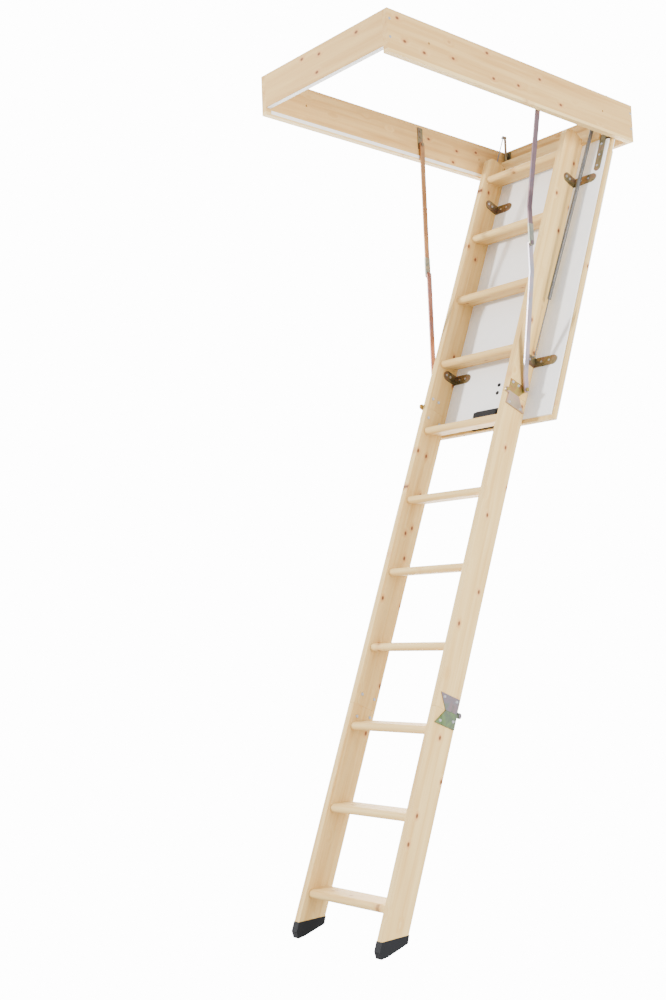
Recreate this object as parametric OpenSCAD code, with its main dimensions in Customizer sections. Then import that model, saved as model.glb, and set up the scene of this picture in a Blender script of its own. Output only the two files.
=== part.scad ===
// Folding attic ladder: a box frame, a hinged insulated hatch and three folding timber sections.
// Millimetres. +Z is up, +X is the hinge end, -X is the free end where the feet land.
// The origin is the middle of the frame on the ceiling line, level with the frame underside.
// Shown open: the hatch hangs down and the three sections are unfolded.

/* [Frame] */
// Outside length of the frame
frame_l = 1180; // [1100:10:1300]
// Outside width of the frame
frame_w = 580; // [560:10:700]
// Height of the frame boards
frame_h = 130; // [110:5:200]
// Thickness of the frame boards
board_t = 20; // [18:1:25]

/* [Hatch] */
// Angle the hatch hangs at below the ceiling, degrees
open_angle = 68; // [60:1:72]
// Hatch thickness over all its layers
hatch_t = 20; // [20:1:40]

/* [Ladder] */
// Width over the two stiles
ladder_w = 378; // [340:2:400]
// Depth of a stile
stile_d = 95; // [80:1:100]
// Thickness of a stile
stile_t = 22; // [20:1:25]
// Distance between treads along the slope
tread_pitch = 258; // [240:1:280]
// Thickness of a tread
tread_t = 25; // [20:1:30]

/* [Hidden] */
$fn = 48;
fx = frame_l / 2;
fy = frame_w / 2;
iy = fy - board_t;
lath_h = 10;
pivot_x = 508;
pivot_z = 14;
hatch_hy = iy - 1.5;
hatch_x0 = -588;
hatch_x1 = 567;
skin_t = 3;
rim_z = 14;
rim_in = 14;
rim_w = 40;
latch_y = 27;
near_y = -140;
far_y = near_y + ladder_w;
near_in = near_y + stile_t;
far_in = far_y - stile_t;
upper_end = 1024;
middle_end = 2072;
lower_end = 2729;
first_tread = 66;
gap = 0.25;
upper_pin_n = 100;
lower_pin_n = -5;
leaf_t = 2.5;
lug_gap = 0.3;
pin_r = 4;
fit_gap = 0.05;
near_strap_y = -230;
far_strap_y = 253;
stay_x = 108;
stay_z = 55;
stay_t = 5;
stay_w = 20;
knee_x = 107.8;
knee_z = -418;
foot_x = 108.4;
foot_z = -892.3;
spring_x = 542;
spring_z = 178;
hook_u = 866;
hook_n = 22;
near_spring_y = -196;
far_spring_y = 251;
near_hook_y = -154;
coil_from = 125;
coil_to = 815;
coil_r = 7;
rod_gap = 8;
lower_bracket_u = 878;
upper_bracket_u = 165;
wood = [0.88, 0.77, 0.60];
pale = [0.93, 0.86, 0.72];
white = [0.93, 0.93, 0.92];
zinc = [0.62, 0.58, 0.42];
steel = [0.55, 0.56, 0.58];
red_zinc = [0.50, 0.36, 0.36];
black = [0.06, 0.06, 0.07];
foam = [0.80, 0.82, 0.84];

// Moves children from the closed hatch pose to the hanging pose.
module hatch_pose() {
  translate([pivot_x, 0, pivot_z])
    rotate([0, -open_angle, 0])
      translate([-pivot_x, 0, -pivot_z])
        children();
}

// Slope coordinates: x is minus the distance down from the pivot, z is height off the hatch face.
module on_slope() {
  hatch_pose()
    translate([pivot_x, 0, hatch_t])
      children();
}

// Box given by its two corners.
module span(a, b) {
  translate(a)
    cube(b - a);
}

// Cylinder along Y between two Y values.
module y_rod(x, z, y0, y1, r) {
  translate([x, y1, z])
    rotate([90, 0, 0])
      cylinder(h = y1 - y0, r = r);
}

// Cylinder along Z between two Z values.
module z_rod(x, y, z0, z1, r) {
  translate([x, y, z0])
    cylinder(h = z1 - z0, r = r);
}

// ---- frame ----
module corner_holes(r) {
  for (x = [-fx + board_t / 2, fx - board_t / 2])
    for (z = [45, 100]) {
      y_rod(x, z, -fy - 1, -iy + 35, r);
      y_rod(x, z, iy - 35, fy + 1, r);
    }
}

module frame_bolt_holes() {
  for (x = [-420, 420]) {
    y_rod(x, 70, -fy - 1, -iy + 1, 3.5);
    y_rod(x, 70, iy - 1, fy + 1, 3.5);
  }
}

module near_long_board() {
  color(wood)
    difference() {
      span([-fx, -fy, lath_h], [fx, -iy, frame_h]);
      corner_holes(2.55);
      frame_bolt_holes();
    }
}

module far_long_board() {
  color(wood)
    difference() {
      span([-fx, iy, lath_h], [fx, fy, frame_h]);
      corner_holes(2.55);
      frame_bolt_holes();
    }
}

module bottom_laths() {
  color(pale) {
    span([-fx, -fy, 0], [fx, -iy, lath_h]);
    span([-fx, iy, 0], [fx, fy, lath_h]);
  }
}

module free_end_board() {
  color(wood)
    difference() {
      span([-fx, -iy, 23], [-fx + board_t, iy, frame_h]);
      corner_holes(2.55);
    }
}

module hinge_end_board() {
  color(wood)
    difference() {
      span([fx - board_t, -iy, 0], [fx, iy, frame_h]);
      corner_holes(2.55);
    }
}

// One frame screw with a domed head on the board face, pointing along +Y.
module frame_screw(x, z) {
  y_rod(x, z, -fy, -iy + 30, 2.5);
  translate([x, -fy, z])
    rotate([90, 0, 0])
      cylinder(h = 1.6, r1 = 4.5, r2 = 3);
}

module corner_screws() {
  color(steel)
    for (x = [-fx + board_t / 2, fx - board_t / 2])
      for (z = [45, 100]) {
        frame_screw(x, z);
        rotate([0, 0, 180])
          frame_screw(-x, z);
      }
}

module frame_seals() {
  color(white)
    union() {
      span([-fx + board_t, -iy, 5], [480, -iy + 1.2, 16]);
      span([-fx + board_t, iy - 1.2, 5], [480, iy, 16]);
      span([-fx + 3, -iy + 3, 20.6], [-fx + 15, iy - 3, 23]);
    }
}

// Fixed hinge leaf on the near long board with its pin.
module fixed_leaf() {
  union() {
    span([pivot_x - 15, -iy, 4], [pivot_x + 15, -iy + 2.5, 50]);
    y_rod(pivot_x, pivot_z, -iy + 2, -214, pin_r);
    y_rod(pivot_x, pivot_z, -217, -214, 6);
    y_rod(pivot_x, 38, -iy + 2, -iy + 4.5, 4);
  }
}

module fixed_hinge_leaves() {
  color(zinc) {
    fixed_leaf();
    mirror([0, 1, 0])
      fixed_leaf();
  }
}

// Bracket for a stay, on the near long board, with the top pin.
module stay_bracket(pin_in) {
  union() {
    span([stay_x - 12, -iy, 40], [stay_x + 12, -iy + 3, 118]);
    y_rod(stay_x, stay_z, -iy + 2, -iy + pin_in, pin_r);
    y_rod(stay_x, stay_z, -iy + pin_in, -iy + pin_in + 2, 6.5);
    for (z = [84, 106])
      y_rod(stay_x, z, -iy + 3, -iy + 5, 4);
  }
}

module stay_brackets() {
  color(zinc) {
    stay_bracket(12.4);
    mirror([0, 1, 0])
      stay_bracket(12.4);
  }
}

// Spring post: plate, upright bar and knob, with a peg the spring eye hangs on. The arm
// between arm_0 and arm_1 joins the peg to the bar beside the eye.
module spring_post(y, peg_0, peg_1, arm_0, arm_1) {
  union() {
    span([566, y - 14, 72], [570, y + 14, 124]);
    span([553, y - 5, 84], [567, y + 5, 94]);
    span([553, y - 5, 106], [567, y + 5, 116]);
    z_rod(556, y, 66, spring_z, 5);
    translate([556, y, spring_z + 2])
      sphere(r = 6.5);
    y_rod(spring_x, spring_z, peg_0, peg_1, 2.5);
    span([spring_x, arm_0, spring_z - 2.5], [556, arm_1, spring_z + 2.5]);
    for (d = [-9, 9])
      translate([561, y + d, 78])
        rotate([0, 90, 0])
          cylinder(h = 5, r = 3.5);
  }
}

module spring_posts() {
  color(zinc) {
    spring_post(-210, -213, near_spring_y + 6, -213, -207);
    spring_post(254, far_spring_y - 6, 260, 255, 260);
  }
}

module latch_keeper() {
  color(steel)
    union() {
      span([-fx + board_t, latch_y - 30, 36], [-fx + board_t + 2.5, latch_y + 30, 76]);
      span([-fx + board_t, latch_y - 30, 33.5], [-fx + board_t + 12, latch_y + 30, 36]);
      for (y = [latch_y - 18, latch_y + 18])
        translate([-fx + board_t + 2.5, y, 60])
          rotate([0, 90, 0])
            cylinder(h = 2, r = 4);
    }
}

// ---- hatch ----
// Room for the hinge pins and eyes in the hatch edges.
module hinge_notches() {
  for (s = [-1, 1])
    translate([pivot_x, s * 241.5, skin_t + hatch_t])
      cube([23, 57, 2 * hatch_t], center = true);
  for (s = [-1, 1])
    translate([pivot_x, s * 270, 0])
      cube([122, 9, 4 * hatch_t], center = true);
}

module hatch_screw_holes(r) {
  for (y = [near_strap_y, far_strap_y])
    for (u = [30, 75, 120])
      z_rod(-u, y, -10, 4, r);
  for (u = [upper_bracket_u, lower_bracket_u])
    for (y = [near_y - 30, near_y - 62, far_in - 24, far_in - 50])
      z_rod(-u, y, -10, 4, r);
}

module hatch_cuts() {
  hinge_notches();
  translate([pivot_x, 0, hatch_t])
    hatch_screw_holes(2.05);
}

module hatch_outer_skin() {
  color(white)
    hatch_pose()
      difference() {
        span([hatch_x0, -hatch_hy, 0], [hatch_x1, hatch_hy, skin_t]);
        hinge_notches();
        translate([hatch_x0 + 58, latch_y, -1])
          cylinder(h = skin_t + 2, r = 9);
      }
}

module hatch_side_laths() {
  color(wood)
    hatch_pose()
      difference() {
        for (s = [-1, 1])
          translate([0, s * (hatch_hy - rim_w / 2), (skin_t + rim_z) / 2])
            translate([(hatch_x0 + hatch_x1) / 2, 0, 0])
              cube([hatch_x1 - hatch_x0, rim_w, rim_z - skin_t], center = true);
        hatch_cuts();
      }
}

module hatch_end_laths() {
  ly = hatch_hy - rim_w;
  color(wood)
    hatch_pose()
      difference() {
        union() {
          span([hatch_x0, -ly, skin_t], [hatch_x0 + 2 * rim_w, ly, rim_z]);
          span([hatch_x1 - 2 * rim_w, -ly, skin_t], [hatch_x1, ly, rim_z]);
        }
        hatch_cuts();
        span([hatch_x0 + 5, latch_y - 51, skin_t - 1], [hatch_x0 + 75, latch_y + 51, rim_z + 1]);
      }
}

module hatch_core() {
  ly = hatch_hy - rim_w;
  color(foam)
    hatch_pose()
      difference() {
        span([hatch_x0 + 2 * rim_w, -ly, skin_t], [hatch_x1 - 2 * rim_w, ly, rim_z]);
        hatch_cuts();
      }
}

module hatch_inner_panel() {
  color(white)
    hatch_pose()
      difference() {
        span([hatch_x0 + rim_in, -hatch_hy + rim_in, rim_z],
             [hatch_x1 - rim_in, hatch_hy - rim_in, hatch_t]);
        hatch_cuts();
        span([hatch_x0, latch_y - 51, rim_z - 1], [hatch_x0 + 75, latch_y + 51, hatch_t + 1]);
      }
}

// Cross rail on the inner face at the hinge end, slotted over the straps.
module hinge_rail() {
  color(wood)
    on_slope()
      difference() {
        span([-4, -254, 0], [56, 254, 9]);
        for (y = [near_strap_y, far_strap_y])
          translate([26, y, 0])
            cube([80, 28, 60], center = true);
        for (y = [near_y, far_in])
          span([-5, y - 0.5, -1], [20.5, y + stile_t + 0.5, 20]);
      }
}

// Hatch side hinge strap with an eye round the pin.
module strap(y) {
  difference() {
    union() {
      span([-128, y - 12, 0], [12, y + 12, 3]);
      z_rod(-128, y, 0, 3, 12);
      y_rod(0, pivot_z - hatch_t, y - 9, y + 9, 8.5);
    }
    y_rod(0, pivot_z - hatch_t, y - 20, y + 20, pin_r + fit_gap);
    hatch_screw_holes(2.05);
  }
}

module hinge_straps() {
  color(zinc)
    on_slope() {
      strap(near_strap_y);
      strap(far_strap_y);
    }
}

// Angle bracket between the hatch and a stile; s is the side the foot points to.
module angle_bracket(u, y, s, leg) {
  difference() {
    union() {
      translate([-u, y + s * leg / 2, 1.5])
        cube([bracket_w, leg, 3], center = true);
      z_rod(-u, y + s * leg, 0, 3, bracket_w / 2);
      translate([-u, y + s * 1.5, bracket_h / 2])
        cube([bracket_w, 3, bracket_h], center = true);
      y_rod(-u, bracket_h, min(y, y + s * 3), max(y, y + s * 3), bracket_w / 2);
    }
    hatch_screw_holes(2.05);
  }
}

module ladder_brackets() {
  color(zinc)
    on_slope()
      for (u = [upper_bracket_u, lower_bracket_u]) {
        angle_bracket(u, near_y, -1, 76);
        angle_bracket(u, far_in, -1, 55);
      }
}

// Pan head screw through a plate on the hatch face.
module hatch_screw(u, y) {
  z_rod(-u, y, -9, 3, 2);
  z_rod(-u, y, 3, 4.6, 4.2);
}

module bracket_screws() {
  color(steel)
    on_slope()
      union() {
        for (y = [near_strap_y, far_strap_y])
          for (u = [30, 75, 120])
            hatch_screw(u, y);
        for (u = [upper_bracket_u, lower_bracket_u])
          for (y = [near_y - 30, near_y - 62, far_in - 24, far_in - 50])
            hatch_screw(u, y);
        for (u = [upper_bracket_u, lower_bracket_u])
          for (n = [30, 48]) {
            y_rod(-u, n, near_y - 5, near_y - 3, 4.5);
            y_rod(-u, n, far_in - 5, far_in - 3, 4.5);
          }
        y_rod(-hook_u, hook_n, near_hook_y - 6, near_y - 3, 3);
        y_rod(-hook_u, hook_n, far_y, far_spring_y + 6, 3);
      }
}

// Latch case let into the free end of the hatch, with a channel for the tongue.
module latch_case() {
  color(black)
    hatch_pose()
      difference() {
        union() {
          span([hatch_x0 + 5, latch_y - 51, skin_t], [hatch_x0 + 75, latch_y + 51, hatch_t]);
          span([hatch_x0 + 34, latch_y - 48, hatch_t], [hatch_x0 + 65, latch_y + 48, hatch_t + 12]);
        }
        span([hatch_x0, latch_y - 23.3, hatch_t + 1.7], [hatch_x0 + 50, latch_y + 23.3, hatch_t + 8.3]);
        translate([hatch_x0 + 58, latch_y, skin_t - 1])
          cylinder(h = 12, r = 7.1);
      }
}

module panel_plugs() {
  color(black)
    on_slope()
      for (u = [932, 962])
        translate([-u, -1, 0])
          cylinder(h = 2, r1 = 7, r2 = 6);
}

module latch_tongue() {
  color(steel)
    hatch_pose()
      span([hatch_x0 + 22, latch_y - 23, hatch_t + 2], [hatch_x0 + 41, latch_y + 23, hatch_t + 8]);
}

module latch_spindle() {
  color(steel)
    hatch_pose()
      difference() {
        translate([hatch_x0 + 58, latch_y, -2])
          cylinder(h = 14, r = 7);
        translate([hatch_x0 + 58, latch_y, -3])
          cylinder(h = 9, r = 3.5);
      }
}

// ---- ladder sections ----
// One stile between two slope distances, r rounds its top.
module stile(u0, u1, y, r) {
  translate([0, y + stile_t, 0])
    rotate([90, 0, 0])
      linear_extrude(height = stile_t)
        union() {
          translate([-u1, 0])
            square([u1 - u0 - r, stile_d]);
          translate([-u0 - r - 0.01, r])
            square([r + 0.01, stile_d - 2 * r]);
          translate([-u0 - r, r])
            circle(r = r);
          translate([-u0 - r, stile_d - r])
            circle(r = r);
        }
}

module upper_stile(y) {
  color(pale)
    on_slope()
      stile(-20, upper_end - gap, y, 30);
}

module middle_stile(y) {
  color(pale)
    on_slope()
      stile(upper_end + gap, middle_end - gap, y, 0.5);
}

module lower_stile(y) {
  color(pale)
    on_slope()
      difference() {
        stile(middle_end + gap, lower_end + 40, y, 0.5);
        translate([-lower_end - boot_cut, y - 1, 0])
          rotate([0, open_angle, 0])
            translate([-200, 0, -200])
              cube([400, stile_t + 2, 200]);
      }
}

// Level tread with a rounded nose, its middle at slope distance u.
module tread(u) {
  color(pale)
    on_slope()
      translate([-u, near_in, stile_d / 2 + 1])
        rotate([0, open_angle, 0])
          union() {
            translate([-tread_hd + tread_t / 2, 0, -tread_t / 2])
              cube([2 * tread_hd - tread_t / 2 - 4, far_in - near_in, tread_t]);
            translate([-tread_hd + tread_t / 2, far_in - near_in, 0])
              rotate([90, 0, 0])
                cylinder(h = far_in - near_in, r = tread_t / 2);
            translate([tread_hd - 5, 0, -tread_t / 2 + 4])
              cube([5, far_in - near_in, tread_t - 8]);
            for (z = [-tread_t / 2 + 4, tread_t / 2 - 4])
              translate([tread_hd - 4, far_in - near_in, z])
                rotate([90, 0, 0])
                  cylinder(h = far_in - near_in, r = 4);
          }
}

module tread_1() {
  tread(first_tread);
}

module tread_2() {
  tread(first_tread + tread_pitch);
}

module tread_3() {
  tread(first_tread + 2 * tread_pitch);
}

module tread_4() {
  tread(first_tread + 3 * tread_pitch);
}

module tread_5() {
  tread(first_tread + 4 * tread_pitch);
}

module tread_6() {
  tread(first_tread + 5 * tread_pitch);
}

module tread_7() {
  tread(first_tread + 6 * tread_pitch);
}

module tread_8() {
  tread(first_tread + 7 * tread_pitch);
}

module tread_9() {
  tread(first_tread + 8 * tread_pitch);
}

module tread_10() {
  tread(first_tread + 9 * tread_pitch);
}

module tread_11() {
  tread(first_tread + 10 * tread_pitch);
}

// Outline of a fold hinge leaf: distance from the joint, then height off the hatch face.
rear_leaf = [[0.6, 5], [0.6, 55], [46, 88], [46, 4]];
front_leaf = [[0.6, 90], [0.6, 42], [44, 6], [44, 92]];

// Plate between two Y values, its outline given from joint_u along dir.
module leaf_plate(joint_u, dir, outline, y0, y1) {
  translate([-joint_u, max(y0, y1), 0])
    rotate([90, 0, 0])
      linear_extrude(abs(y1 - y0))
        polygon([for (p = outline) [-dir * p[0], p[1]]]);
}

// Fold hinge leaf on one stile face. s is the outward side, dir the way it runs from the joint,
// and its lug reaches the pin in its own layer.
module leaf(y, s, joint_u, dir, pin_n, layer) {
  front = pin_n > stile_d;
  ya = layer == 0 ? y : y + s * (leaf_t + lug_gap);
  yb = ya + s * leaf_t;
  lug_end = front ? 85 : 10;
  lug = [[0, pin_n], [0, lug_end], [9, lug_end], [9, pin_n]];
  difference() {
    union() {
      leaf_plate(joint_u, dir, front ? front_leaf : rear_leaf, y, yb);
      leaf_plate(joint_u, dir, lug, ya, yb);
      y_rod(-joint_u, pin_n, min(ya, yb), max(ya, yb), 9);
    }
    if (layer == 1)
      y_rod(-joint_u, pin_n, min(ya, yb) - 5, max(ya, yb) + 5, pin_r - 1 + fit_gap);
  }
}

// Hinge pin fixed in the inner leaf and headed outside the outer one.
module fold_pin(u, n, y, s) {
  ya = y;
  yb = y + s * (2 * leaf_t + lug_gap);
  yc = yb + s * 0.3;
  yd = yc + s * 2;
  y_rod(-u, n, min(ya, yc), max(ya, yc), pin_r - 1);
  y_rod(-u, n, min(yc, yd), max(yc, yd), 6);
}

// Two domed bolt heads on a leaf.
module leaf_bolts(y, s, us, ns, t) {
  for (i = [0:1])
    translate([-us[i], y + s * t, ns[i]])
      rotate([s * -90, 0, 0])
        cylinder(h = 2.2, r1 = 5, r2 = 3.6);
}

// Nuts on the inner face of a stile.
module inner_nuts(y, s, us, ns) {
  for (i = [0:1])
    translate([-us[i], y, ns[i]])
      rotate([s * 90, 0, 0])
        cylinder(h = 2.5, r1 = 5.5, r2 = 4.5);
}

module upper_leaf(y, s) {
  color(zinc)
    on_slope()
      union() {
        leaf(y, s, upper_end, -1, upper_pin_n, 0);
        fold_pin(upper_end, upper_pin_n, y, s);
        stay_lug(y, s);
      }
}

// Pin the lower stay arm turns on, at the rear lower corner of the upper leaf.
module stay_lug(y, s) {
  reach = s < 0 ? 17.4 : 20.4;
  ya = y + s * leaf_t;
  yb = y + s * reach;
  yc = y + s * (reach + 2);
  y_rod(-lug_u, lug_n, min(y, ya), max(y, ya), 9);
  y_rod(-lug_u, lug_n, min(ya, yb), max(ya, yb), pin_r);
  y_rod(-lug_u, lug_n, min(yb, yc), max(yb, yc), 6.5);
}

module upper_middle_leaf(y, s) {
  color(red_zinc)
    on_slope()
      leaf(y, s, upper_end, 1, upper_pin_n, 1);
}

module middle_lower_leaf(y, s) {
  color(red_zinc)
    on_slope()
      union() {
        leaf(y, s, middle_end, -1, lower_pin_n, 0);
        fold_pin(middle_end, lower_pin_n, y, s);
      }
}

module lower_leaf(y, s) {
  color(zinc)
    on_slope()
      leaf(y, s, middle_end, 1, lower_pin_n, 1);
}

// Bolts of one pair of leaves, the same on both stiles.
module leaf_pair_bolts(us, ns, t) {
  leaf_bolts(near_y, -1, us, ns, t);
  leaf_bolts(far_y, 1, us, ns, t);
  inner_nuts(near_in, -1, us, ns);
  inner_nuts(far_in, 1, us, ns);
}

module upper_bolts() {
  color(steel)
    on_slope()
      leaf_pair_bolts([upper_end - 36, upper_end - 36], [80, 52], leaf_t);
}

module middle_bolts() {
  color(steel)
    on_slope() {
      leaf_pair_bolts([upper_end + 36, upper_end + 36], [80, 24], 2 * leaf_t + lug_gap);
      leaf_pair_bolts([middle_end - 36, middle_end - 36], [70, 16], leaf_t);
    }
}

module lower_bolts() {
  color(steel)
    on_slope()
      leaf_pair_bolts([middle_end + 36, middle_end + 24], [70, 16], 2 * leaf_t + lug_gap);
}

lug_u = 990;
lug_n = 25;
tread_hd = 40;
boot_cut = -22;
bracket_w = 34;
bracket_h = 42;

// Moulded foot over the sloping end of a lower stile, its top edge and sole level with the floor.
module boot(y) {
  color(black)
    on_slope()
      translate([-lower_end - boot_cut, y - 1, 0])
        rotate([90, open_angle, 0])
          mirror([0, 0, 1])
            linear_extrude(height = stile_t + 2)
              polygon([[-104, 0], [2, 0], [-5, -22], [-84, -43], [-108, -46], [-114, -26]]);
}

module boots() {
  boot(near_y);
  boot(far_y - stile_t);
}

// ---- stays ----
// Flat bar in the X-Z plane between two points, round ended, between two Y values.
module flat_bar(p, q, y0, y1, w) {
  d = q - p;
  l = norm(d);
  translate([p[0], y0, p[1]])
    rotate([0, -atan2(d[1], d[0]), 0])
      union() {
        translate([0, 0, -w / 2])
          cube([l, y1 - y0, w]);
        y_rod(0, 0, 0, y1 - y0, w / 2);
        y_rod(l, 0, 0, y1 - y0, w / 2);
      }
}

top_p = [stay_x, stay_z];
knee_p = [knee_x, knee_z];
foot_p = [foot_x, foot_z];

// Bar that steps sideways from one Y layer to another between two fractions of its length.
module cranked_bar(p, q, ya, yb, t0, t1) {
  d = q - p;
  l = norm(d);
  translate([p[0], 0, p[1]])
    rotate([0, -atan2(d[1], d[0]), 0])
      union() {
        translate([0, 0, -stay_w / 2])
          linear_extrude(height = stay_w)
            polygon([[0, ya], [l * t0, ya], [l * t1, yb], [l, yb],
                     [l, yb + stay_t], [l * t1, yb + stay_t], [l * t0, ya + stay_t], [0, ya + stay_t]]);
        y_rod(0, 0, ya, ya + stay_t, stay_w / 2);
        y_rod(l, 0, yb, yb + stay_t, stay_w / 2);
      }
}

module near_stay_upper() {
  color(red_zinc)
    difference() {
      union() {
        cranked_bar(top_p, knee_p, -263.4, -209, 0.1, 0.75);
        y_rod(knee_x, knee_z, -211, -209, 6.5);
      }
      y_rod(stay_x, stay_z, -280, -240, pin_r + fit_gap);
    }
}

module near_stay_lower() {
  color(red_zinc)
    difference() {
      union() {
        cranked_bar(knee_p, foot_p, -203.6, -155.4, 0.2, 0.9);
        y_rod(knee_x, knee_z, -198.6, -196.6, 6.5);
      }
      y_rod(foot_x, foot_z, -180, -145, pin_r + fit_gap);
    }
}

module far_stay_upper() {
  color(red_zinc)
    difference() {
      union() {
        flat_bar(top_p, knee_p, 258.4, 258.4 + stay_t, stay_w);
        y_rod(knee_x, knee_z, 258.4 + stay_t, 265.4, 6.5);
      }
      y_rod(stay_x, stay_z, 240, 280, pin_r + fit_gap);
    }
}

module far_stay_lower() {
  color(red_zinc)
    difference() {
      union() {
        flat_bar(knee_p, foot_p, 252.4, 252.4 + stay_t, stay_w);
        y_rod(knee_x, knee_z, 250.4, 252.4, 6.5);
      }
      y_rod(foot_x, foot_z, 240, 280, pin_r + fit_gap);
    }
}

// ---- springs ----
// Where the springs hook on, in the row frame.
hook_x = pivot_x - hook_u * cos(open_angle) - (hook_n + hatch_t - pivot_z) * sin(open_angle);
hook_z = pivot_z - hook_u * sin(open_angle) + (hook_n + hatch_t - pivot_z) * cos(open_angle);

// Line from the post peg down to the hook.
function spring_line(ty, by) = [hook_x - spring_x, by - ty, hook_z - spring_z];

// Spring axis frame: x runs from the post peg down to the hook.
module spring_axis(ty, by) {
  d = spring_line(ty, by);
  yaw = atan2(d[1], d[0]);
  pitch = atan2(-d[2], norm([d[0], d[1]]));
  translate([spring_x, ty, spring_z])
    rotate([0, pitch, yaw])
      children();
}

// Axial cylinder between two distances down the spring axis.
module axial(a, b, r) {
  translate([a, 0, 0])
    rotate([0, 90, 0])
      cylinder(h = b - a, r = r);
}

module spring_hook_top(ty, by) {
  color(steel)
    union() {
      difference() {
        translate([spring_x, ty, spring_z])
          rotate([90, 0, 0])
            cylinder(h = 4, r = 6, center = true);
        y_rod(spring_x, spring_z, ty - 10, ty + 10, 2.5 + fit_gap);
      }
      spring_axis(ty, by)
        axial(5, coil_from, 2);
    }
}

module spring_coil(ty, by) {
  color(steel)
    spring_axis(ty, by)
      difference() {
        axial(coil_from, coil_to, coil_r);
        axial(coil_from - 1, coil_to + 1, coil_r - 3);
      }
}

module spring_rod(ty, by) {
  color(steel)
    spring_axis(ty, by)
      union() {
        axial(coil_to, norm(spring_line(ty, by)) - rod_gap, 2);
        translate([coil_to, 0, 0])
          sphere(r = 4);
        translate([norm(spring_line(ty, by)) - rod_gap, 0, 0])
          sphere(r = 3.2);
      }
}

module near_upper_stile() {
  upper_stile(near_y);
}

module far_upper_stile() {
  upper_stile(far_y - stile_t);
}

module upper_leaves() {
  upper_leaf(near_y, -1);
  upper_leaf(far_y, 1);
}

module near_middle_stile() {
  middle_stile(near_y);
}

module far_middle_stile() {
  middle_stile(far_y - stile_t);
}

module middle_top_leaves() {
  upper_middle_leaf(near_y, -1);
  upper_middle_leaf(far_y, 1);
}

module middle_foot_leaves() {
  middle_lower_leaf(near_y, -1);
  middle_lower_leaf(far_y, 1);
}

module near_lower_stile() {
  lower_stile(near_y);
}

module far_lower_stile() {
  lower_stile(far_y - stile_t);
}

module lower_leaves() {
  lower_leaf(near_y, -1);
  lower_leaf(far_y, 1);
}

module near_spring_hook() {
  spring_hook_top(near_spring_y, near_hook_y);
}

module near_spring_coil() {
  spring_coil(near_spring_y, near_hook_y);
}

module near_spring_rod() {
  spring_rod(near_spring_y, near_hook_y);
}

module far_spring_hook() {
  spring_hook_top(far_spring_y, far_spring_y);
}

module far_spring_coil() {
  spring_coil(far_spring_y, far_spring_y);
}

module far_spring_rod() {
  spring_rod(far_spring_y, far_spring_y);
}

// ---- build ----
near_long_board();
far_long_board();
bottom_laths();
free_end_board();
hinge_end_board();
corner_screws();
frame_seals();
fixed_hinge_leaves();
stay_brackets();
spring_posts();
latch_keeper();
hatch_outer_skin();
hatch_side_laths();
hatch_end_laths();
hatch_core();
hatch_inner_panel();
hinge_rail();
hinge_straps();
ladder_brackets();
bracket_screws();
latch_case();
panel_plugs();
near_upper_stile();
far_upper_stile();
tread_1();
tread_2();
tread_3();
tread_4();
upper_leaves();
upper_bolts();
near_middle_stile();
far_middle_stile();
tread_5();
tread_6();
tread_7();
tread_8();
middle_top_leaves();
middle_foot_leaves();
middle_bolts();
near_lower_stile();
far_lower_stile();
tread_9();
tread_10();
tread_11();
lower_leaves();
lower_bolts();
boots();
near_stay_upper();
near_stay_lower();
far_stay_upper();
far_stay_lower();
near_spring_hook();
near_spring_coil();
near_spring_rod();
far_spring_hook();
far_spring_coil();
far_spring_rod();
latch_tongue();
latch_spindle();
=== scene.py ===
import math

import bpy
from mathutils import Matrix, Vector


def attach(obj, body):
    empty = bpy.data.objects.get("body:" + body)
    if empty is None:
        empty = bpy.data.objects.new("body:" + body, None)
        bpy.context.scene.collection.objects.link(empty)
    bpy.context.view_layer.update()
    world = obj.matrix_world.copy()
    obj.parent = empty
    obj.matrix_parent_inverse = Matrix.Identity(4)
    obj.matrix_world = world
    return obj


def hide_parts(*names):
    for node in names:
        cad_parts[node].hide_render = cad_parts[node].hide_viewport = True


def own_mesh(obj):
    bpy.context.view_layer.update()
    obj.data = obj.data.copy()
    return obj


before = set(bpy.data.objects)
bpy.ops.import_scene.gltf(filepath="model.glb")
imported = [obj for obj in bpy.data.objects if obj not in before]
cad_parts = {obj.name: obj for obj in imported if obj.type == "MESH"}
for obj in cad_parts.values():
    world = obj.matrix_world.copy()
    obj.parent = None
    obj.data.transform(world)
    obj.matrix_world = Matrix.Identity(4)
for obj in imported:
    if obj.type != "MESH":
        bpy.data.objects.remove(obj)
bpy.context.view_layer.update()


# ---- materials ----
def new_material(name):
    """Node material with an empty tree and a Principled shader wired to the output."""
    mat = bpy.data.materials.new(name)
    mat.use_nodes = True
    tree = mat.node_tree
    tree.nodes.clear()
    out = tree.nodes.new("ShaderNodeOutputMaterial")
    bsdf = tree.nodes.new("ShaderNodeBsdfPrincipled")
    tree.links.new(bsdf.outputs["BSDF"], out.inputs["Surface"])
    return mat, tree, bsdf


def srgb(r, g, b):
    """Linear colour of an 8-bit sRGB colour."""
    def linear(c):
        return ((c / 255 + 0.055) / 1.055) ** 2.4 if c > 10 else c / 3294
    return (linear(r), linear(g), linear(b), 1.0)


def mix_colour(tree, factor, a, b):
    """Mix node for two colours; each of a and b is a socket or a colour."""
    node = tree.nodes.new("ShaderNodeMix")
    node.data_type = "RGBA"
    for key, value in ((6, a), (7, b)):
        if isinstance(value, bpy.types.NodeSocket):
            tree.links.new(value, node.inputs[key])
        else:
            node.inputs[key].default_value = value
    if isinstance(factor, bpy.types.NodeSocket):
        tree.links.new(factor, node.inputs[0])
    else:
        node.inputs[0].default_value = factor
    return node.outputs[2]


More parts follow.
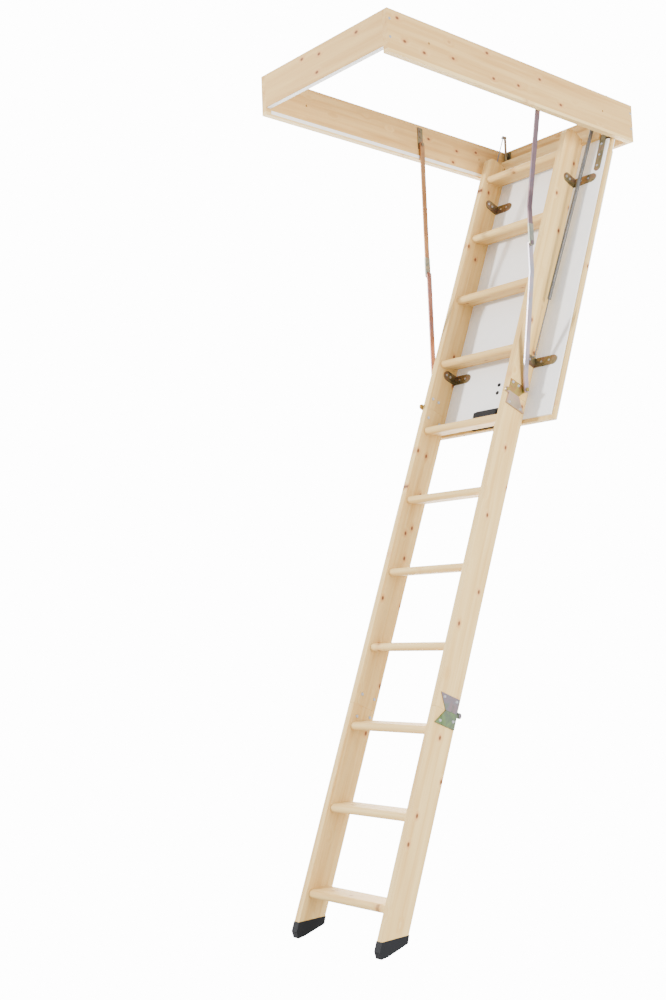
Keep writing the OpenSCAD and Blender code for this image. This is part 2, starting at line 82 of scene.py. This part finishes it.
def ramp(tree, fac, stops):
    """Colour ramp over (position, colour) stops."""
    node = tree.nodes.new("ShaderNodeValToRGB")
    while len(node.color_ramp.elements) < len(stops):
        node.color_ramp.elements.new(0.5)
    for element, (pos, colour) in zip(node.color_ramp.elements, stops):
        element.position = pos
        element.color = colour
    tree.links.new(fac, node.inputs["Fac"])
    return node.outputs["Color"]


def grey(v):
    return (v, v, v, 1.0)


def wood(name, base, dark, grain_axis, seed=0.0, knots=1.0, thin="Y"):
    """Planed spruce with straight grain along grain_axis and a few brown knots.

    grain_axis holds Euler angles that turn object space so the grain runs along X, and
    thin names the turned axis through the thickness, along which a knot runs right through."""
    mat, tree, bsdf = new_material(name)
    coord = tree.nodes.new("ShaderNodeTexCoord")
    turn = tree.nodes.new("ShaderNodeMapping")
    turn.inputs["Rotation"].default_value = grain_axis
    turn.inputs["Location"].default_value = (seed * 1.7, seed * 0.31, seed * 0.53)
    tree.links.new(coord.outputs["Object"], turn.inputs["Vector"])

    # knots: flat cells a little longer along the grain, which bends round each one
    split = tree.nodes.new("ShaderNodeSeparateXYZ")
    tree.links.new(turn.outputs["Vector"], split.inputs["Vector"])
    face = tree.nodes.new("ShaderNodeCombineXYZ")
    tree.links.new(split.outputs["X"], face.inputs["X"])
    tree.links.new(split.outputs["Z" if thin == "Y" else "Y"], face.inputs["Y"])
    cells_map = tree.nodes.new("ShaderNodeMapping")
    cells_map.inputs["Scale"].default_value = (8.0, 12.0, 1.0)
    tree.links.new(face.outputs["Vector"], cells_map.inputs["Vector"])
    cells = tree.nodes.new("ShaderNodeTexVoronoi")
    cells.voronoi_dimensions = "2D"
    cells.inputs["Scale"].default_value = 1.0
    cells.inputs["Randomness"].default_value = 1.0
    tree.links.new(cells_map.outputs["Vector"], cells.inputs["Vector"])

    push = tree.nodes.new("ShaderNodeMath")
    push.operation = "MULTIPLY_ADD"
    near = ramp(tree, cells.outputs["Distance"], [(0.0, grey(1.0)), (0.22, grey(0.0))])
    tree.links.new(near, push.inputs[0])
    push.inputs[1].default_value = 0.012
    push.inputs[2].default_value = 0.0
    bent = tree.nodes.new("ShaderNodeVectorMath")
    bent.operation = "ADD"
    tree.links.new(turn.outputs["Vector"], bent.inputs[0])
    tree.links.new(push.outputs[0], bent.inputs[1])

    grain_map = tree.nodes.new("ShaderNodeMapping")
    grain_map.inputs["Scale"].default_value = (2.2, 60.0, 60.0)
    tree.links.new(bent.outputs["Vector"], grain_map.inputs["Vector"])
    grain = tree.nodes.new("ShaderNodeTexNoise")
    grain.inputs["Scale"].default_value = 1.0
    grain.inputs["Detail"].default_value = 6.0
    grain.inputs["Roughness"].default_value = 0.55
    grain.inputs["Distortion"].default_value = 0.35
    tree.links.new(grain_map.outputs["Vector"], grain.inputs["Vector"])

    broad_map = tree.nodes.new("ShaderNodeMapping")
    broad_map.inputs["Scale"].default_value = (1.3, 14.0, 14.0)
    tree.links.new(turn.outputs["Vector"], broad_map.inputs["Vector"])
    broad = tree.nodes.new("ShaderNodeTexNoise")
    broad.inputs["Scale"].default_value = 1.0
    broad.inputs["Detail"].default_value = 3.0
    tree.links.new(broad_map.outputs["Vector"], broad.inputs["Vector"])

    streaks = ramp(tree, grain.outputs["Fac"], [(0.36, grey(0.0)), (0.66, grey(1.0))])
    tone = mix_colour(tree, streaks, base, dark)
    half = mix_colour(tree, 0.5, tone, base)
    wash = ramp(tree, broad.outputs["Fac"], [(0.35, grey(0.0)), (0.7, grey(1.0))])
    body = mix_colour(tree, wash, half, tone)

    # only some cells hold a knot
    which = tree.nodes.new("ShaderNodeSeparateColor")
    tree.links.new(cells.outputs["Color"], which.inputs["Color"])
    chosen = ramp(tree, which.outputs[0], [(0.42, grey(0.0)), (0.43, grey(1.0))])
    halo = ramp(tree, cells.outputs["Distance"], [(0.05, grey(0.8 * knots)), (0.15, grey(0.0))])
    core = ramp(tree, cells.outputs["Distance"], [(0.035, grey(0.95 * knots)), (0.07, grey(0.0))])
    halo_on = mix_colour(tree, chosen, grey(0.0), halo)
    core_on = mix_colour(tree, chosen, grey(0.0), core)
    ringed = mix_colour(tree, halo_on, body, srgb(196, 140, 84))
    final = mix_colour(tree, core_on, ringed, srgb(104, 62, 30))
    tree.links.new(final, bsdf.inputs["Base Color"])
    bsdf.inputs["Roughness"].default_value = 0.62
    bsdf.inputs["Specular IOR Level"].default_value = 0.3

    bump = tree.nodes.new("ShaderNodeBump")
    bump.inputs["Strength"].default_value = 0.08
    bump.inputs["Distance"].default_value = 0.0006
    tree.links.new(grain.outputs["Fac"], bump.inputs["Height"])
    tree.links.new(bump.outputs["Normal"], bsdf.inputs["Normal"])
    return mat


def zinc(name, tints, rough=0.34, scale=18.0):
    """Passivated zinc plate: patchy iridescent tints over a metal."""
    mat, tree, bsdf = new_material(name)
    coord = tree.nodes.new("ShaderNodeTexCoord")
    patch = tree.nodes.new("ShaderNodeTexNoise")
    patch.inputs["Scale"].default_value = scale
    patch.inputs["Detail"].default_value = 4.0
    patch.inputs["Distortion"].default_value = 0.8
    tree.links.new(coord.outputs["Object"], patch.inputs["Vector"])
    stops = [(0.32 + 0.36 * i / (len(tints) - 1), c) for i, c in enumerate(tints)]
    tree.links.new(ramp(tree, patch.outputs["Fac"], stops), bsdf.inputs["Base Color"])
    bsdf.inputs["Metallic"].default_value = 0.8
    fine = tree.nodes.new("ShaderNodeTexNoise")
    fine.inputs["Scale"].default_value = 240.0
    tree.links.new(coord.outputs["Object"], fine.inputs["Vector"])
    spread = tree.nodes.new("ShaderNodeMapRange")
    spread.inputs["To Min"].default_value = rough - 0.08
    spread.inputs["To Max"].default_value = rough + 0.12
    tree.links.new(fine.outputs["Fac"], spread.inputs["Value"])
    tree.links.new(spread.outputs["Result"], bsdf.inputs["Roughness"])
    return mat


def plain(name, colour, rough, metallic=0.0, specular=0.5, bump_scale=0.0, bump_amount=0.0):
    """Even material with a faint procedural variation."""
    mat, tree, bsdf = new_material(name)
    coord = tree.nodes.new("ShaderNodeTexCoord")
    noise = tree.nodes.new("ShaderNodeTexNoise")
    noise.inputs["Scale"].default_value = bump_scale or 30.0
    tree.links.new(coord.outputs["Object"], noise.inputs["Vector"])
    darker = tuple(c * 0.93 for c in colour[:3]) + (1.0,)
    tree.links.new(mix_colour(tree, noise.outputs["Fac"], colour, darker), bsdf.inputs["Base Color"])
    bsdf.inputs["Roughness"].default_value = rough
    bsdf.inputs["Metallic"].default_value = metallic
    bsdf.inputs["Specular IOR Level"].default_value = specular
    if bump_amount:
        bump = tree.nodes.new("ShaderNodeBump")
        bump.inputs["Strength"].default_value = bump_amount
        bump.inputs["Distance"].default_value = 0.0008
        tree.links.new(noise.outputs["Fac"], bump.inputs["Height"])
        tree.links.new(bump.outputs["Normal"], bsdf.inputs["Normal"])
    return mat


OPEN = math.radians(68)
ALONG_X = (0.0, 0.0, 0.0)
ALONG_Y = (0.0, 0.0, math.radians(90))
ALONG_SLOPE = (0.0, OPEN, 0.0)

PALE = (srgb(222, 190, 124), srgb(198, 156, 86))
WARM = (srgb(210, 172, 106), srgb(182, 136, 72))
# spruce grain in a lighter tone for the bottom laths: the extra lightness is painted light, standing
# in for light falling on the lath band from below
PAINTED_LIT_LATH = (srgb(228, 198, 136), srgb(208, 168, 100))

steel = plain("bright zinc", srgb(190, 192, 196), 0.32, metallic=0.9)
spring_steel = plain("spring steel", srgb(120, 122, 124), 0.38, metallic=0.85)
white_board = plain("white board", srgb(238, 238, 238), 0.35)
seal = plain("white seal", srgb(236, 236, 233), 0.7, bump_scale=400.0, bump_amount=0.2)
foam = plain("insulation", srgb(222, 228, 232), 0.9, bump_scale=300.0, bump_amount=0.4)
black_plastic = plain("black plastic", srgb(24, 24, 26), 0.5, specular=0.2,
                      bump_scale=500.0, bump_amount=0.1)
boot_black = plain("boot black", srgb(22, 23, 26), 0.6, specular=0.15,
                   bump_scale=350.0, bump_amount=0.25)
olive = zinc("yellow zinc", [
    srgb(100, 92, 68), srgb(132, 120, 88),
    srgb(134, 106, 86), srgb(114, 108, 84)])
gold_zinc = zinc("gold zinc", [
    srgb(132, 124, 62), srgb(160, 144, 72),
    srgb(158, 116, 70), srgb(136, 140, 70)])
blush_zinc = zinc("blush zinc", [
    srgb(168, 144, 120), srgb(180, 150, 136),
    srgb(172, 156, 130), srgb(156, 134, 126)])
mauve_zinc = zinc("mauve zinc", [
    srgb(104, 112, 106), srgb(136, 116, 118),
    srgb(126, 120, 128), srgb(112, 122, 106)])
moss_zinc = zinc("moss zinc", [
    srgb(92, 112, 74), srgb(112, 134, 92),
    srgb(100, 112, 96), srgb(120, 136, 84)])
plum_zinc = zinc("plum zinc", [
    srgb(96, 78, 84), srgb(120, 98, 102),
    srgb(104, 92, 104), srgb(128, 104, 100)], scale=7.0)
lilac_zinc = zinc("lilac zinc", [
    srgb(164, 146, 166), srgb(186, 166, 172),
    srgb(158, 160, 170), srgb(178, 150, 150)], scale=7.0)
copper_zinc = zinc("copper zinc", [
    srgb(150, 110, 76), srgb(172, 128, 84),
    srgb(158, 116, 92), srgb(140, 104, 84)], scale=7.0)
russet_zinc = zinc("russet zinc", [
    srgb(132, 92, 84), srgb(150, 104, 90),
    srgb(124, 92, 98), srgb(156, 114, 94)], scale=7.0)


def dress(node, mat):
    """Gives a CAD node one material."""
    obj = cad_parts[node]
    obj.data.materials.clear()
    obj.data.materials.append(mat)
    for poly in obj.data.polygons:
        poly.material_index = 0
    return obj


long_seed = {"near_long_board": 0.3, "far_long_board": 2.1}
for node, seed in long_seed.items():
    dress(node, wood(node + " wood", WARM[0], WARM[1], ALONG_X, seed))
# bottom laths: real spruce grain, lightened as painted light on the lath band
dress("bottom_laths", wood("lath wood with painted light", PAINTED_LIT_LATH[0], PAINTED_LIT_LATH[1], ALONG_X, 4.4, 0.3))
dress("free_end_board", wood("free end wood", WARM[0], WARM[1], ALONG_Y, 1.3))
dress("hinge_end_board", wood("hinge end wood", WARM[0], WARM[1], ALONG_Y, 5.9))
dress("hatch_side_laths", wood("hatch side wood", PALE[0], PALE[1], ALONG_SLOPE, 3.2))
dress("hatch_end_laths", wood("hatch end wood", PALE[0], PALE[1], ALONG_Y, 0.9))
dress("hinge_rail", wood("rail wood", PALE[0], PALE[1], ALONG_Y, 7.7))
for i, node in enumerate(["near_upper_stile", "far_upper_stile", "near_middle_stile",
                          "far_middle_stile", "near_lower_stile", "far_lower_stile"]):
    dress(node, wood(node + " wood", PALE[0], PALE[1], ALONG_SLOPE, 1.1 + 2.3 * i))
TREADS = 11
for i in range(TREADS):
    grain = wood("tread wood %d" % (i + 1), PALE[0], PALE[1], ALONG_Y, 0.7 + 1.9 * i, 0.6, "Z")
    dress("tread_%d" % (i + 1), grain)

FINISH = {
    steel: ["corner_screws", "latch_keeper", "bracket_screws", "upper_bolts", "middle_bolts",
            "lower_bolts", "latch_tongue", "latch_spindle"],
    spring_steel: ["near_spring_hook", "near_spring_coil", "near_spring_rod",
                   "far_spring_hook", "far_spring_coil", "far_spring_rod"],
    white_board: ["hatch_outer_skin", "hatch_inner_panel"],
    seal: ["frame_seals"],
    foam: ["hatch_core"],
    black_plastic: ["latch_case", "panel_plugs"],
    boot_black: ["boots"],
    olive: ["fixed_hinge_leaves", "stay_brackets", "spring_posts", "hinge_straps", "ladder_brackets"],
    gold_zinc: ["upper_leaves"],
    blush_zinc: ["middle_top_leaves"],
    mauve_zinc: ["middle_foot_leaves"],
    moss_zinc: ["lower_leaves"],
    plum_zinc: ["near_stay_upper"],
    lilac_zinc: ["near_stay_lower"],
    copper_zinc: ["far_stay_upper"],
    russet_zinc: ["far_stay_lower"],
}
for mat, names in FINISH.items():
    for node in names:
        dress(node, mat)


# ---- coil springs ----
def coil_mesh(name, top, foot, start, end, radius, wire, turns):
    """Wire helix between two distances down the line from top to foot."""
    axis = (foot - top).normalized()
    side = axis.orthogonal().normalized()
    other = axis.cross(side)
    steps = turns * 14
    ring = 6
    verts, faces = [], []
    for i in range(steps + 1):
        t = i / steps
        angle = 2 * math.pi * turns * t
        radial = side * math.cos(angle) + other * math.sin(angle)
        centre = top + axis * (start + (end - start) * t) + radial * radius
        for j in range(ring):
            a = 2 * math.pi * j / ring
            verts.append(centre + radial * (wire * math.cos(a)) + axis * (wire * math.sin(a)))
    for i in range(steps):
        for j in range(ring):
            k = (j + 1) % ring
            faces.append((i * ring + j, i * ring + k, (i + 1) * ring + k, (i + 1) * ring + j))
    faces.append(tuple(range(ring))[::-1])
    faces.append(tuple(steps * ring + j for j in range(ring)))
    mesh = bpy.data.meshes.new(name)
    mesh.from_pydata([tuple(v) for v in verts], [], faces)
    mesh.polygons.foreach_set("use_smooth", [True] * len(mesh.polygons))
    mesh.update()
    obj = bpy.data.objects.new(name, mesh)
    bpy.context.scene.collection.objects.link(obj)
    obj.data.materials.append(spring_steel)
    return obj, axis


COIL_START = 0.125
COIL_END = 0.815
COIL_RADIUS = 0.0055
WIRE_RADIUS = 0.0014
COIL_TURNS = 160
SPRING_TOP = (0.542, 0.178)
HOOK_U = 0.866
HOOK_N = 0.028
SPRING_FOOT = (0.508 - HOOK_U * math.cos(OPEN) - HOOK_N * math.sin(OPEN),
               0.014 - HOOK_U * math.sin(OPEN) + HOOK_N * math.cos(OPEN))
for side_name, y_top, y_foot in (("near", -0.196, -0.154), ("far", 0.251, 0.251)):
    top = Vector((SPRING_TOP[0], y_top, SPRING_TOP[1]))
    foot = Vector((SPRING_FOOT[0], y_foot, SPRING_FOOT[1]))
    coil, axis = coil_mesh(side_name + "_coil_wire", top, foot, COIL_START, COIL_END,
                           COIL_RADIUS, WIRE_RADIUS, COIL_TURNS)
    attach(coil, side_name + "_spring")
    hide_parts(side_name + "_spring_coil")
    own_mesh(coil)


# ---- knee sleeves on the stays ----
def slab(name, outline, y0, y1):
    """Prism over an outline of (x, z) points between two Y values."""
    count = len(outline)
    verts = [(x, y0, z) for x, z in outline] + [(x, y1, z) for x, z in outline]
    faces = [tuple(range(count)), tuple(range(count, 2 * count))[::-1]]
    faces += [(i, i + count, (i + 1) % count + count, (i + 1) % count) for i in range(count)]
    mesh = bpy.data.meshes.new(name)
    mesh.from_pydata(verts, [], faces)
    mesh.update()
    obj = bpy.data.objects.new(name, mesh)
    bpy.context.scene.collection.objects.link(obj)
    return obj


KNEE = (0.1078, -0.418)
SLEEVE_HALF = 0.0112
SLEEVE_TOP = KNEE[1] + 0.062
sleeve_zinc = zinc("sleeve zinc", [
    srgb(128, 128, 116), srgb(150, 148, 132),
    srgb(120, 126, 118), srgb(150, 140, 118)])
for side_name, y0, y1 in (("near", -0.2095, -0.2040), ("far", 0.2579, 0.2639)):
    outline = [(KNEE[0] - SLEEVE_HALF, SLEEVE_TOP), (KNEE[0] - SLEEVE_HALF, KNEE[1])]
    for k in range(1, 12):
        a = math.radians(180 + 15 * k)
        outline.append((KNEE[0] + SLEEVE_HALF * math.cos(a), KNEE[1] + SLEEVE_HALF * math.sin(a)))
    outline += [(KNEE[0] + SLEEVE_HALF, KNEE[1]), (KNEE[0] + SLEEVE_HALF, SLEEVE_TOP)]
    sleeve = slab(side_name + "_knee_sleeve", outline, y0, y1)
    sleeve.data.materials.append(sleeve_zinc)
    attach(sleeve, side_name + "_stay_upper_arm")


# ---- stage ----
VIEW_AHEAD = Vector((0.660700, 0.744878, 0.092905))
STUDIO_LIGHT = 1.5
BACKDROP_LIGHT = 14.0

# the world is soft grey all round and brightens to white where the camera looks
world = bpy.data.worlds.new("soft studio")
bpy.context.scene.world = world
world.use_nodes = True
sky = world.node_tree
facing = sky.nodes.new("ShaderNodeVectorMath")
facing.operation = "DOT_PRODUCT"
facing.inputs[1].default_value = VIEW_AHEAD
sky.links.new(sky.nodes.new("ShaderNodeTexCoord").outputs["Generated"], facing.inputs[0])
glow = sky.nodes.new("ShaderNodeMapRange")
glow.interpolation_type = "SMOOTHSTEP"
glow.inputs["From Min"].default_value = 0.45
glow.inputs["From Max"].default_value = 0.8
glow.inputs["To Min"].default_value = STUDIO_LIGHT
glow.inputs["To Max"].default_value = BACKDROP_LIGHT
sky.links.new(facing.outputs["Value"], glow.inputs["Value"])
sky.nodes["Background"].inputs["Color"].default_value = (1.0, 1.0, 1.0, 1.0)
sky.links.new(glow.outputs["Result"], sky.nodes["Background"].inputs["Strength"])


def lamp(name, place, aim, size, power):
    """Square area lamp pointed at aim."""
    data = bpy.data.lights.new(name, "AREA")
    data.shape = "SQUARE"
    data.size = size
    data.energy = power
    obj = bpy.data.objects.new(name, data)
    bpy.context.scene.collection.objects.link(obj)
    obj.location = place
    obj.rotation_euler = (Vector(aim) - Vector(place)).to_track_quat("-Z", "Y").to_euler()
    return obj


lamp("key", (-4.2, 2.6, 0.1), (0.1, 0, -0.9), 0.4, 420)
lamp("fill", (0.1, -5.2, -1.0), (0, 0, -1.3), 2.0, 500)

# ---- camera ----
camera_data = bpy.data.cameras.new("camera")
camera_data.lens = 45.334
camera_data.sensor_width = 36
camera = bpy.data.objects.new("camera", camera_data)
bpy.context.scene.collection.objects.link(camera)
right = Vector((0.749918, -0.660444, -0.037899))
down = Vector((0.033128, 0.094711, -0.994953))
turn = Matrix((right, -down, -VIEW_AHEAD)).transposed()
camera.matrix_world = Matrix.Translation((-3.03763, -2.73838, -1.60178)) @ turn.to_4x4()
bpy.context.scene.camera = camera
